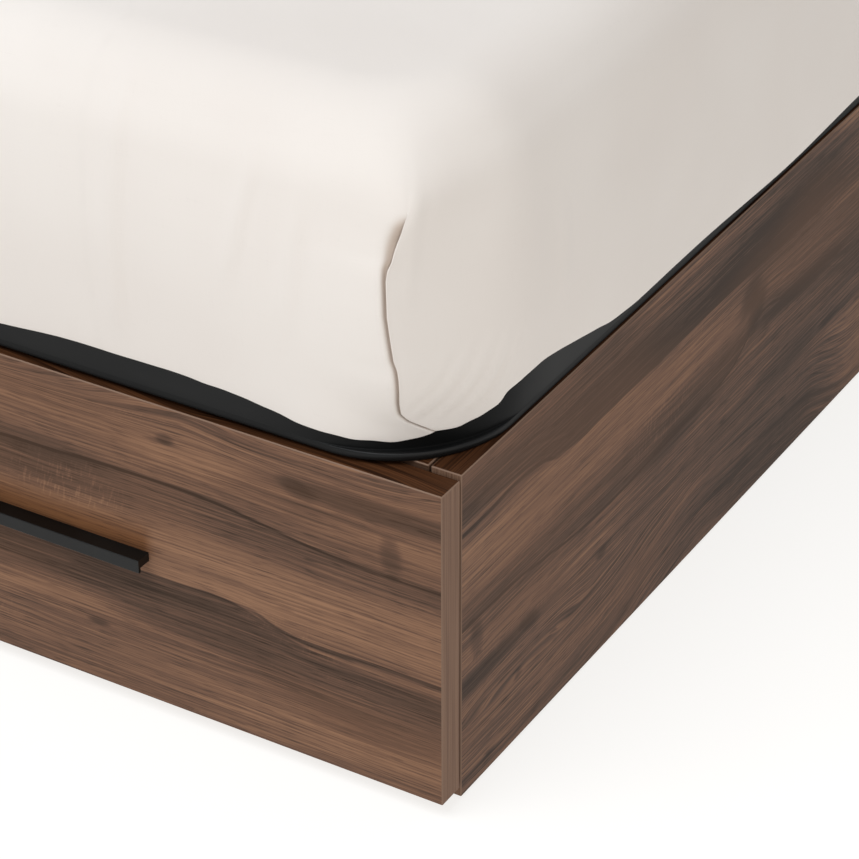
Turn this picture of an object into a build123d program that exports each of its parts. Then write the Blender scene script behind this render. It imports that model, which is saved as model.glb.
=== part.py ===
"""Platform bed with storage drawers on roller runners, with its mattress and sheet.

Sizes are in millimetres. +X runs along the bed towards the foot end and +Z is up.
The origin is on the floor, under the middle of the bed. Right and left are those of
someone lying on the bed, so the right-hand drawers open towards -Y.
"""
import os

from build123d import *

os.makedirs("parts", exist_ok=True)

# Mattress: its length and width set the size of the whole bed
mattress_length = 2032.0
mattress_width = 1524.0
mattress_height = 268.0
mattress_wall = 16.0
border_corner_radius = 112.0
tape_corner_radius = 96.0
tape_height = 8.0
crown_radius = 60.0

# Sheet pulled over the mattress
sheet_thickness = 1.2
sheet_clearance = 0.3
border_showing = 22.0

# Boards of the base
panel_thickness = 25.0
panel_height = 284.0
board_thickness = 18.0
end_margin = 2.0
side_margin = 5.0
rail_height = 50.0
deck_gap = 2.0
cleat_width = 20.0
cleat_height = 30.0
arris = 0.8

# Floor glides under the boards
glide_size = 16.0
glide_height = 3.0
glide_inset = 120.0

# Angle brackets that hold the boards together
bracket_leg = 40.0
bracket_width = 18.0
bracket_gauge = 2.5
bracket_height = 140.0

# Bumpers that the closed drawer fronts rest against
bumper_size = 8.0
bumper_thickness = 2.0
bumper_inset = 45.0

# Drawer fronts
front_thickness = 25.0
front_gap = 3.0
front_raise = 10.0
front_drop = 3.0

# Drawer boxes
box_depth = 600.0
box_height = 172.0
box_side_thickness = 15.0
box_back_thickness = 15.0
bottom_thickness = 5.0
groove_lift = 10.0
groove_depth = 7.0
groove_clearance = 0.1
groove_end_clearance = 0.5
batten_width = 40.0
batten_thickness = 8.0

# Pull: a solid bar with a lip turned down at its front
pull_length = 508.0
pull_rise = 136.8
pull_projection = 13.5
pull_bar = 7.2
pull_lip_height = 11.2
pull_lip = 2.4
pull_edge_radius = 0.6

# Roller runners
runner_space = 12.5
runner_gauge = 1.2
runner_length = 550.0
runner_setback = 2.0
runner_base = 27.0
channel_width = 10.2
channel_lip = 9.0
drawer_flange_gap = 0.6
drawer_flange_width = 10.5
box_seat = 4.0
roller_radius = 11.0
roller_width = 7.0
roller_side_gap = 0.6
roller_end_margin = 3.0
rolling_clearance = 0.15
axle_radius = 2.5
axle_clearance = 0.08

# Places worked out from those sizes
bed_length = mattress_length + 2 * end_margin
bed_width = mattress_width + 2 * side_margin
end_face = bed_length / 2
inner_end = end_face - panel_thickness
front_face = -bed_width / 2
front_back = front_face + front_thickness
carcass_front = front_back + bumper_thickness
carcass_width = -2 * carcass_front
rail_back = carcass_front + board_thickness
spine_face = board_thickness / 2
base_bottom = glide_height
base_top = base_bottom + panel_height
deck_bottom = base_top - board_thickness
rail_bottom = deck_bottom - rail_height
rail_middle = deck_bottom - rail_height / 2

front_width = (bed_length - front_gap) / 2
front_centre = (front_gap + front_width) / 2
front_bottom = base_bottom + front_raise
front_height = panel_height - front_raise - front_drop
pull_top = front_bottom + pull_rise

bay_width = inner_end - spine_face
bay_centre = (inner_end + spine_face) / 2
box_width = bay_width - 2 * runner_space
box_inner_width = box_width - 2 * box_side_thickness
box_bottom = runner_base + box_seat
box_back = front_back + box_depth
groove_bottom = box_bottom + groove_lift
groove_height = bottom_thickness + 2 * groove_clearance

channel_height = 2 * (roller_radius + rolling_clearance + runner_gauge)
drawer_flange_bottom = runner_base + channel_height + drawer_flange_gap
front_roller_height = drawer_flange_bottom - rolling_clearance - roller_radius
rear_roller_height = runner_base + channel_height / 2
runner_front = carcass_front + runner_setback
front_roller_place = runner_front + roller_radius + roller_end_margin
drawer_rail_front = front_back
rear_roller_place = drawer_rail_front + runner_length - roller_radius - roller_end_margin
drawer_web = runner_space - runner_gauge
roller_start = runner_gauge + roller_side_gap
half_turn = Location((0, 0, 0), (0, 0, 180))


def save(piece, name):
    """Label a finished piece and write it under its own name."""
    piece.label = name
    export_step(piece, f"parts/{name}.step")


def level(height):
    """Horizontal plane at a height above the floor."""
    return Plane.XY.offset(height)


# Angle brackets in the corners of the base, each with one leg on either board
turns = {(1, 1): 0, (-1, 1): 90, (-1, -1): 180, (1, -1): 270}
bracket_places = []
for end in (1, -1):
    for side in (1, -1):
        corners = (
            ((end * inner_end, side * spine_face, bracket_height), turns[-end, side]),
            ((end * spine_face, side * spine_face, bracket_height), turns[end, side]),
            (
                (end * inner_end, -side * rail_back, deck_bottom - cleat_height - bracket_width),
                turns[-end, -side],
            ),
        )
        bracket_places += [Location(corner, (0, 0, turn)) for corner, turn in corners]

with BuildPart() as bracket:
    with BuildSketch():
        with BuildLine():
            Polyline(
                (0, 0),
                (bracket_leg, 0),
                (bracket_leg, bracket_gauge),
                (bracket_gauge, bracket_gauge),
                (bracket_gauge, bracket_leg),
                (0, bracket_leg),
                close=True,
            )
        make_face()
    extrude(amount=bracket_width)

with BuildPart() as corner_brackets:
    with Locations(*bracket_places):
        add(bracket.part)
save(corner_brackets.part, "corner_brackets")

# Foot and head panels: full-height boards that stand on glides
with BuildPart() as foot_panel:
    with BuildSketch(level(base_bottom)):
        with Locations(((end_face + inner_end) / 2, 0)):
            Rectangle(panel_thickness, carcass_width)
    extrude(amount=panel_height)
    chamfer(foot_panel.edges(), length=arris)
save(foot_panel.part, "foot_panel")
save(foot_panel.part.moved(half_turn), "head_panel")

# Centre spine, which runs between the two panels
with BuildPart() as center_spine:
    with BuildSketch(level(base_bottom)):
        Rectangle(2 * inner_end, board_thickness)
    extrude(amount=deck_bottom - base_bottom)
save(center_spine.part, "center_spine")

# Cross dividers, notched at the top of their front edge for the top rails
for side, name in ((1, "right"), (-1, "left")):
    divider_depth = -carcass_front - spine_face
    with BuildPart() as cross_divider:
        with BuildSketch(level(base_bottom)):
            with Locations((0, side * (carcass_front - spine_face) / 2)):
                Rectangle(board_thickness, divider_depth)
        extrude(amount=deck_bottom - base_bottom)
        with BuildSketch(level(rail_bottom)):
            with Locations((0, side * (carcass_front + rail_back) / 2)):
                Rectangle(board_thickness, board_thickness)
        extrude(amount=rail_height, mode=Mode.SUBTRACT)
    save(cross_divider.part, f"{name}_cross_divider")

# Top rails behind the drawer fronts
with BuildPart() as top_rail:
    with BuildSketch(level(rail_bottom)):
        with Locations((0, (carcass_front + rail_back) / 2)):
            Rectangle(2 * inner_end, board_thickness)
    extrude(amount=rail_height)
save(top_rail.part, "right_top_rail")
save(top_rail.part.moved(half_turn), "left_top_rail")

# Cleats that carry the ends of the deck
with BuildPart() as deck_cleats:
    cleat_length = -rail_back - spine_face
    with BuildSketch(level(deck_bottom - cleat_height)):
        with GridLocations(2 * inner_end - cleat_width, cleat_length + board_thickness, 2, 2):
            Rectangle(cleat_width, cleat_length)
    extrude(amount=cleat_height)
save(deck_cleats.part, "deck_cleats")

# Deck panels, flush with the tops of the foot and head panels
deck_names = ("head", "middle", "foot")
deck_pitch = (2 * inner_end - deck_gap) / len(deck_names)
for place, name in enumerate(deck_names):
    deck_x = (place - (len(deck_names) - 1) / 2) * deck_pitch
    with BuildPart() as deck_panel:
        with BuildSketch(level(deck_bottom)):
            with Locations((deck_x, 0)):
                Rectangle(deck_pitch - deck_gap, carcass_width)
        extrude(amount=board_thickness)
        chamfer(deck_panel.edges().group_by(Axis.Z)[-1], length=arris)
    save(deck_panel.part, f"{name}_deck_panel")

# Floor glides under the panels, the spine and the dividers
with BuildPart() as floor_glides:
    with BuildSketch():
        with GridLocations(bed_length - panel_thickness, carcass_width - 2 * glide_inset, 2, 2):
            Rectangle(glide_size, glide_size)
        with GridLocations(2 * (inner_end - glide_inset), 0, 2, 1):
            Rectangle(glide_size, glide_size)
        with GridLocations(0, carcass_width - 2 * glide_inset, 1, 2):
            Rectangle(glide_size, glide_size)
        Rectangle(glide_size, glide_size)
    extrude(amount=glide_height)
save(floor_glides.part, "floor_glides")

# Bumpers on the front edges of the base, three behind each drawer front
with BuildPart() as front_bumpers:
    for side in (1, -1):
        edge = Plane(origin=(0, side * carcass_front, 0), x_dir=(1, 0, 0), z_dir=(0, -side, 0))
        up = edge.y_dir.Z
        panel_middle = end_face - panel_thickness / 2
        low = base_bottom + bumper_inset
        high = base_top - bumper_inset
        with BuildSketch(edge):
            with Locations((0, up * (low + high) / 2)):
                with GridLocations(2 * panel_middle, high - low, 2, 2):
                    Rectangle(bumper_size, bumper_size)
            with Locations((0, up * rail_middle)):
                with GridLocations(2 * bumper_inset, 0, 2, 1):
                    Rectangle(bumper_size, bumper_size)
        extrude(amount=bumper_thickness)
save(front_bumpers.part, "front_bumpers")


def runner_plane(edge, inward, place):
    """Plane across a runner: X from the bay's wall into the bay, Y up from the runner's base."""
    return Plane(origin=(edge, place, runner_base), x_dir=(inward, 0, 0), z_dir=(0, -inward, 0))


def axle_plane(edge, inward, reach, place, height):
    """Plane across a roller's axle, at a reach from the bay's wall, Z into the bay."""
    return Plane(origin=(edge + inward * reach, place, height), x_dir=(0, 1, 0), z_dir=(inward, 0, 0))


def bay_walls(end):
    """The wall at each side of a right-hand bay, and which way is into the bay."""
    low, high = sorted((end * spine_face, end * inner_end))
    return ((low, 1), (high, -1))


def cabinet_rails(end):
    """A pair of channels on the walls of a bay, each with the axle of its front roller."""
    opening = 2 * (roller_radius + roller_end_margin)
    with BuildPart() as rails:
        for edge, inward in bay_walls(end):
            section = runner_plane(edge, inward, runner_front)
            with BuildSketch(section):
                with BuildLine():
                    Polyline(
                        (0, 0),
                        (channel_width, 0),
                        (channel_width, runner_gauge),
                        (runner_gauge, runner_gauge),
                        (runner_gauge, channel_height - runner_gauge),
                        (channel_lip, channel_height - runner_gauge),
                        (channel_lip, channel_height),
                        (0, channel_height),
                        close=True,
                    )
                make_face()
            extrude(amount=-inward * runner_length)
            with BuildSketch(section):
                with Locations((runner_gauge, 2 * runner_gauge)):
                    Rectangle(channel_width, channel_height, align=(Align.MIN, Align.MIN))
            extrude(amount=-inward * opening, mode=Mode.SUBTRACT)
            with BuildSketch(axle_plane(edge, inward, runner_gauge, front_roller_place, front_roller_height)):
                Circle(axle_radius)
            extrude(amount=roller_side_gap + roller_width)
    return rails.part


def drawer_rails(end):
    """A pair of rails under the drawer's sides, each with the axle of its rear roller."""
    foot = box_seat - runner_gauge
    flange = drawer_flange_bottom - runner_base
    with BuildPart() as rails:
        for edge, inward in bay_walls(end):
            section = runner_plane(edge, inward, drawer_rail_front)
            with BuildSketch(section):
                with BuildLine():
                    Polyline(
                        (runner_space + box_side_thickness, foot),
                        (runner_space + box_side_thickness, box_seat),
                        (runner_space, box_seat),
                        (runner_space, flange + runner_gauge),
                        (runner_space - drawer_flange_width, flange + runner_gauge),
                        (runner_space - drawer_flange_width, flange),
                        (drawer_web, flange),
                        (drawer_web, foot),
                        close=True,
                    )
                make_face()
            extrude(amount=-inward * runner_length)
            with BuildSketch(axle_plane(edge, inward, roller_start, rear_roller_place, rear_roller_height)):
                Circle(axle_radius)
            extrude(amount=drawer_web - roller_start)
    return rails.part


def rollers(end, place, height):
    """A pair of rollers on one axis, bored for their axles."""
    with BuildPart() as pair:
        for edge, inward in bay_walls(end):
            with BuildSketch(axle_plane(edge, inward, roller_start, place, height)):
                Circle(roller_radius)
                Circle(axle_radius + axle_clearance, mode=Mode.SUBTRACT)
            extrude(amount=roller_width)
    return pair.part


def drawer_front(end):
    """Drawer front, grooved behind for the bottom."""
    centre = end * front_centre
    with BuildPart() as front:
        with BuildSketch(level(front_bottom)):
            with Locations((centre, (front_face + front_back) / 2)):
                Rectangle(front_width, front_thickness)
        extrude(amount=front_height)
        chamfer(front.edges(), length=arris)
        with BuildSketch(level(groove_bottom)):
            with Locations((end * bay_centre, front_back)):
                Rectangle(box_inner_width + 2 * groove_depth, 2 * groove_depth)
        extrude(amount=groove_height, mode=Mode.SUBTRACT)
    return front.part


def drawer_side(end, hand):
    """Drawer side, grooved inside for the bottom; hand is -1 on the left and 1 on the right."""
    outer = end * bay_centre + hand * box_width / 2
    inner = outer - hand * box_side_thickness
    with BuildPart() as side:
        with BuildSketch(level(box_bottom)):
            with Locations(((outer + inner) / 2, front_back + box_depth / 2)):
                Rectangle(box_side_thickness, box_depth)
        extrude(amount=box_height)
        with BuildSketch(level(groove_bottom)):
            with Locations((inner, front_back + box_depth / 2)):
                Rectangle(2 * groove_depth, box_depth)
        extrude(amount=groove_height, mode=Mode.SUBTRACT)
    return side.part


def drawer_back(end):
    """Drawer back, between the sides and grooved for the bottom."""
    inner = box_back - box_back_thickness
    with BuildPart() as back:
        with BuildSketch(level(box_bottom)):
            with Locations((end * bay_centre, (inner + box_back) / 2)):
                Rectangle(box_inner_width, box_back_thickness)
        extrude(amount=box_height)
        with BuildSketch(level(groove_bottom)):
            with Locations((end * bay_centre, inner)):
                Rectangle(box_inner_width, 2 * groove_depth)
        extrude(amount=groove_height, mode=Mode.SUBTRACT)
    return back.part


def drawer_bottom(end):
    """Drawer bottom, held in the grooves on all four sides."""
    tongue = groove_depth - groove_end_clearance
    clear_depth = box_depth - box_back_thickness
    with BuildPart() as bottom:
        with BuildSketch(level(groove_bottom + groove_clearance)):
            with Locations((end * bay_centre, front_back + clear_depth / 2)):
                Rectangle(box_inner_width + 2 * tongue, clear_depth + 2 * tongue)
        extrude(amount=bottom_thickness)
    return bottom.part


def drawer_batten(end):
    """Batten under the middle of the bottom, from the drawer front to the back."""
    clear_depth = box_depth - box_back_thickness
    with BuildPart() as batten:
        with BuildSketch(level(groove_bottom + groove_clearance)):
            with Locations((end * bay_centre, front_back + clear_depth / 2)):
                Rectangle(batten_width, clear_depth)
        extrude(amount=-batten_thickness)
    return batten.part


def drawer_pull(end):
    """Pull of a hook section: a bar on the drawer front, with a lip turned down at its front."""
    start = end * front_centre - pull_length / 2
    with BuildPart() as pull:
        with BuildSketch(Plane(origin=(start, front_face, pull_top), x_dir=(0, -1, 0), z_dir=(1, 0, 0))):
            with BuildLine():
                Polyline(
                    (0, 0),
                    (pull_projection, 0),
                    (pull_projection, pull_lip_height),
                    (pull_projection - pull_lip, pull_lip_height),
                    (pull_projection - pull_lip, pull_bar),
                    (0, pull_bar),
                    close=True,
                )
            make_face()
        extrude(amount=pull_length)
        fillet(pull.edges().filter_by(Axis.X).group_by(Axis.Y)[0], radius=pull_edge_radius)
    return pull.part


# Drawers: each right-hand one is built in place, and half a turn makes a left-hand one
for end, right_name, left_name in ((1, "right_foot", "left_head"), (-1, "right_head", "left_foot")):
    pieces = {
        "drawer_front": drawer_front(end),
        "drawer_side_left": drawer_side(end, -1),
        "drawer_side_right": drawer_side(end, 1),
        "drawer_back": drawer_back(end),
        "drawer_bottom": drawer_bottom(end),
        "drawer_pull": drawer_pull(end),
        "drawer_batten": drawer_batten(end),
        "drawer_rails": drawer_rails(end),
        "cabinet_rails": cabinet_rails(end),
        "front_rollers": rollers(end, front_roller_place, front_roller_height),
        "rear_rollers": rollers(end, rear_roller_place, rear_roller_height),
    }
    for name, piece in pieces.items():
        save(piece, f"{right_name}_{name}")
        save(piece.moved(half_turn), f"{left_name}_{name}")

# Mattress: a rounded body on a wider bound edge, with padding all round the space of its springs
with BuildPart() as spring_space:
    with BuildSketch(level(base_top + mattress_wall)):
        RectangleRounded(
            mattress_length - 2 * mattress_wall,
            mattress_width - 2 * mattress_wall,
            border_corner_radius - mattress_wall,
        )
    extrude(amount=mattress_height - 2 * mattress_wall)
    chamfer(spring_space.edges().group_by(Axis.Z)[-1], length=crown_radius - mattress_wall)

with BuildPart() as mattress:
    with BuildSketch(level(base_top)):
        RectangleRounded(mattress_length, mattress_width, border_corner_radius)
    extrude(amount=mattress_height)
    fillet(mattress.edges().group_by(Axis.Z)[-1], radius=crown_radius)
    with BuildSketch(level(base_top)):
        RectangleRounded(mattress_length, mattress_width, tape_corner_radius)
    extrude(amount=tape_height)
    add(spring_space.part, mode=Mode.SUBTRACT)
save(mattress.part, "mattress")


def cap(outset):
    """Body of the sheet's outline, grown from the mattress by an outset."""
    with BuildPart() as body:
        with BuildSketch(level(base_top + border_showing)):
            RectangleRounded(
                mattress_length + 2 * outset,
                mattress_width + 2 * outset,
                border_corner_radius + outset,
            )
        extrude(amount=mattress_height + outset - border_showing)
        fillet(body.edges().group_by(Axis.Z)[-1], radius=crown_radius + outset)
    return body.part


# Sheet: a thin cap over the mattress that leaves its lower border bare
with BuildPart() as sheet:
    add(cap(sheet_clearance + sheet_thickness))
    add(cap(sheet_clearance), mode=Mode.SUBTRACT)
save(sheet.part, "sheet")
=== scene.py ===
"""Looks of a platform bed with storage drawers: laminate boards, black pulls, mattress and pleated sheet.

Lengths are in metres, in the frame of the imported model: +X towards the foot end, +Z up, origin on the floor.
The drawers towards -Y are the right-hand ones. The camera looks at the right foot corner.
"""

import math

import bpy
import numpy as np
from mathutils import Matrix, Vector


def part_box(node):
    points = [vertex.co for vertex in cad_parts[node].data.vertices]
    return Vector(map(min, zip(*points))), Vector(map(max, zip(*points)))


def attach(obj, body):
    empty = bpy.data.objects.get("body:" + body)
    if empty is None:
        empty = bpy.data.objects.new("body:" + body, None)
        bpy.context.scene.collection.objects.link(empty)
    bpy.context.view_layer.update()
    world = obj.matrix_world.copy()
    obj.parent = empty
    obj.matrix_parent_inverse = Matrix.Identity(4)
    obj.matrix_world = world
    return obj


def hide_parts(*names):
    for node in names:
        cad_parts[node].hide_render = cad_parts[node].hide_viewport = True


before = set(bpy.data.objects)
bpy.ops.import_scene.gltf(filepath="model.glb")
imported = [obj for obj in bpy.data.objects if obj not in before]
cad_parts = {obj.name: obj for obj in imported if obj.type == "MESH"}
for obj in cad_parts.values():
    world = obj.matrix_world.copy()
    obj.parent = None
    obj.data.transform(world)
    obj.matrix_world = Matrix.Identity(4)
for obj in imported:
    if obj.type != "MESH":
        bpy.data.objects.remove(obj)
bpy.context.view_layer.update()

MM = 0.001

# Camera, solved from the straight edges of the boards
CAMERA_PLACE = (1.9921, -2.4037, 1.5420)
CAMERA_LENS = 138.68
CAMERA_SENSOR = 36.0
CAMERA_PITCH = math.radians(32.26)
CAMERA_YAW = math.radians(31.01)
CAMERA_ROLL = math.radians(-0.254)

# Mattress and sheet
BORDER_CORNER = 112 * MM
TAPE_HEIGHT = 6.5 * MM
CROWN = 60 * MM
TOP_DOME = 5 * MM
SHEET_STAND = 1.5 * MM

# Pleat of the sheet at each corner: how far it draws the cloth in, its lap, its groove and its ridge
PLEAT_REACH = 260 * MM
PLEAT_LAP = 22 * MM
PLEAT_ROUND = 1.6 * MM
PLEAT_GROOVE = 5.0 * MM
PLEAT_FOOT = 5.0 * MM
PLEAT_ROLL = 0.2
PLEAT_RIDGE = 19.0 * MM
# The hem is raised by this share of how far the cloth stands off, as it hangs by its length
HEM_LIFT = 0.6
SHEET_SWELL = 10 * MM

# Where the walnut print starts on the drawer fronts and on the end panels
PRINT_END_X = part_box("right_foot_drawer_front")[1].x
PRINT_FRONT_Y = -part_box("right_foot_drawer_front")[0].y
PRINT_END_Y = -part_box("foot_panel")[0].y + 20 * MM
PRINT_FRONT_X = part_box("foot_panel")[1].x
PRINT_TURN = 354 * MM
# The pulls of the drawers, above which the print is painted darker and more orange: painted shade under their
# lip
PULL_LOW, PULL_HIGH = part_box("right_foot_drawer_pull")
PULL_MIDDLE = (PULL_LOW.x + PULL_HIGH.x) / 2
PULL_HALF = (PULL_HIGH.x - PULL_LOW.x) / 2
PULL_TOP = PULL_HIGH.z

DRAWERS = [f"{side}_{end}" for side in ("right", "left") for end in ("foot", "head")]

# Lights: place, point aimed at, size, power and colour
KEY_LIGHT = ((0.11, -2.62, 4.18), (0.8, -0.6, 0.4), 3.0, 134.0, (0.97, 1.0, 1.03))
FILL_LIGHT = ((2.15, -1.35, 0.95), (1.0, -0.6, 0.3), 1.0, 2.25, (1.0, 0.82, 0.62))
FLOOR_REACH = 60.0


def smooth(low, high, value):
    """Smooth step: 0 below low, 1 above high and 3t^2 - 2t^3 between, where t is the share of the way."""
    share = np.clip((value - low) / (high - low), 0, 1)
    return share * share * (3 - 2 * share)


class Socket:
    """One output of a shader node; arithmetic with it adds Math nodes."""

    def __init__(self, finish, output):
        self.finish = finish
        self.output = output

    def other(self, name):
        """Another output of the same node."""
        return Socket(self.finish, self.output.node.outputs[name])

    def math(self, operation, first, second=0.0):
        return self.finish.node("Math", {"operation": operation}, {0: first, 1: second})

    def __add__(self, other):
        return self.math("ADD", self, other)

    def __radd__(self, other):
        return self.math("ADD", other, self)

    def __sub__(self, other):
        return self.math("SUBTRACT", self, other)

    def __rsub__(self, other):
        return self.math("SUBTRACT", other, self)

    def __mul__(self, other):
        return self.math("MULTIPLY", self, other)

    def __truediv__(self, other):
        return self.math("DIVIDE", self, other)

    def __abs__(self):
        return self.math("ABSOLUTE", self)

    def above(self, edge):
        return self.math("GREATER_THAN", self, edge)

    def larger(self, other):
        return self.math("MAXIMUM", self, other)

    def between(self, low, high, to_low=0.0, to_high=1.0):
        """The value taken smoothly from one range to another."""
        settings = {"interpolation_type": "SMOOTHSTEP"}
        return self.finish.node("MapRange", settings, {0: self, 1: low, 2: high, 3: to_low, 4: to_high})


class Finish:
    """A material with one Principled shader, built by expressions on sockets."""

    def __init__(self, name, **fixed):
        self.material = bpy.data.materials.new(name)
        self.material.use_nodes = True
        self.tree = self.material.node_tree
        self.shader = self.tree.nodes["Principled BSDF"]
        for socket, value in fixed.items():
            self.shader.inputs[socket.replace("_", " ")].default_value = value

    def node(self, kind, settings=None, inputs=None, output=0):
        """Any node: its type, its settings, and the values or links of its sockets."""
        node = self.tree.nodes.new("ShaderNode" + kind)
        settings = dict(settings or {})
        stops = settings.pop("stops", None)
        points = settings.pop("points", None)
        for name, value in settings.items():
            setattr(node, name, value)
        if stops:
            ramp = node.color_ramp.elements
            while len(ramp) < len(stops):
                ramp.new(0.5)
            for element, (place, colour) in zip(ramp, stops):
                element.position = place
                element.color = (*colour, 1.0)
        if points:
            curve = node.mapping.curves[0].points
            while len(curve) < len(points):
                curve.new(0.5, 0.5)
            for point, place in zip(curve, points):
                point.location = place
            node.mapping.update()
        for name, value in (inputs or {}).items():
            self.plug(node.inputs[name], value)
        return Socket(self, node.outputs[output])

    def plug(self, socket, value):
        """Link a socket, or set its value."""
        if isinstance(value, Socket):
            self.tree.links.new(value.output, socket)
        elif hasattr(value, "__len__") and socket.type == "RGBA":
            socket.default_value = (*value[:3], 1.0)
        else:
            socket.default_value = value

    def set(self, **links):
        """Links into the shader."""
        for name, value in links.items():
            self.plug(self.shader.inputs[name.replace("_", " ")], value)
        return self.material

    def place(self, source="Object"):
        """The three coordinates of a point of the surface."""
        xyz = self.node("SeparateXYZ", inputs={0: self.node("TexCoord", output=source)})
        return xyz, xyz.other("Y"), xyz.other("Z")

    def facing(self):
        """The three parts of the surface's direction."""
        xyz = self.node("SeparateXYZ", inputs={0: self.node("NewGeometry", output="True Normal")})
        return xyz, xyz.other("Y"), xyz.other("Z")

    def noise(self, x, y, z=0.0, detail=2.0, rough=0.5, distortion=0.0):
        """Cloudy noise, about 0 to 1, at a point whose coordinates are already scaled."""
        point = self.node("CombineXYZ", inputs={0: x, 1: y, 2: z})
        inputs = {"Vector": point, "Scale": 1.0, "Detail": detail, "Roughness": rough}
        inputs["Distortion"] = distortion
        return self.node("TexNoise", {"noise_dimensions": "3D"}, inputs)

    def mix(self, share, first, second, kind="MIX"):
        """Two colours mixed by a share."""
        settings = {"data_type": "RGBA", "blend_type": kind, "clamp_factor": True}
        return self.node("Mix", settings, {0: share, 6: first, 7: second}, output=2)

    def pick(self, share, first, second):
        """One of two values, or between them, by a share."""
        return self.node("Mix", {"data_type": "FLOAT"}, {0: share, 2: first, 3: second})

    def bump(self, height, distance, strength=1.0):
        """A normal tilted by a height."""
        return self.node("Bump", inputs={"Height": height, "Distance": distance, "Strength": strength})


# Figure of the walnut print, in millimetres along the grain from the board's front corner and across it
FIGURE_REACH = 0.70
FIGURE_WIDTH = 0.40
VEIN_LEVEL = 0.210
EDGE_LEVEL = 0.131
VEIN_LINE = ((0, 202), (60, 202), (105, 204), (150, 210), (190, 215), (250, 217), (330, 215), (400, 212),
             (450, 207), (475, 196), (500, 181), (560, 187), (700, 196))
EDGE_LINE = ((0, 110), (90, 111), (125, 115), (150, 123), (180, 131), (230, 132), (420, 132), (560, 134),
             (700, 132))
SLIVER_LINE = ((0, 119), (60, 119), (105, 117), (140, 121), (165, 129), (240, 118), (420, 113), (700, 118))
HILL_LEVEL = 0.322
HILL_LINE = ((0, 322), (140, 322), (250, 313), (330, 291), (400, 277), (470, 281), (560, 288), (700, 300))
# Dark smears and knots, and pale patches below zero: place along and across the grain, half length and half
# width, slant and strength
SMEARS = (
    (45, 253, 85, 8, 0.0, 1.0),
    (42, 219, 8, 15, 0.3, 0.7),
    (234, 257, 7, 4, 0.0, 0.7),
    (236, 254, 14, 2, 0.0, 0.6),
    (305, 69, 9, 3, 0.0, 0.8),
    (484, 154, 16, 13, -0.4, 0.9),
    (497, 172, 14, 15, -0.6, 0.8),
    (655, 254, 24, 5, 0.0, 0.8),
    (560, 250, 60, 12, 0.0, 0.4),
    (120, 251, 14, 7, 0.2, 0.6),
    (350, 215, 60, 9, 0.0, 0.6),
    (600, 192, 90, 8, 0.0, 0.8),
    (216, 246, 45, 9, 0.0, -0.3),
    (80, 33, 170, 13, 0.0, -0.35),
    (20, 230, 30, 9, 0.0, -0.2),
    (400, 87, 110, 22, 0.0, -0.4),
    (580, 330, 140, 28, 0.0, 0.4),
)
# An eye of nested arches in the grain: its middle, half length and half width, and how far it bends the grain
EYE_ALONG = 105 * MM
EYE_ACROSS = 274 * MM
EYE_LENGTH = 75 * MM
EYE_WIDTH = 14 * MM
EYE_BEND = 13 * MM
# Where the grain is curled into short pale flecks
CURL_ALONG = 330 * MM
CURL_ACROSS = 187 * MM
CURL_LENGTH = 62 * MM
CURL_WIDTH = 17 * MM


def curve_height(wood, share, line):
    """Height across the grain of a line drawn through points, by the share of the way along the figure."""
    points = [(along * MM / FIGURE_REACH, across * MM / FIGURE_WIDTH) for along, across in line]
    return wood.node("FloatCurve", {"points": points}, {"Factor": 1.0, "Value": share}) * FIGURE_WIDTH


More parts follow.
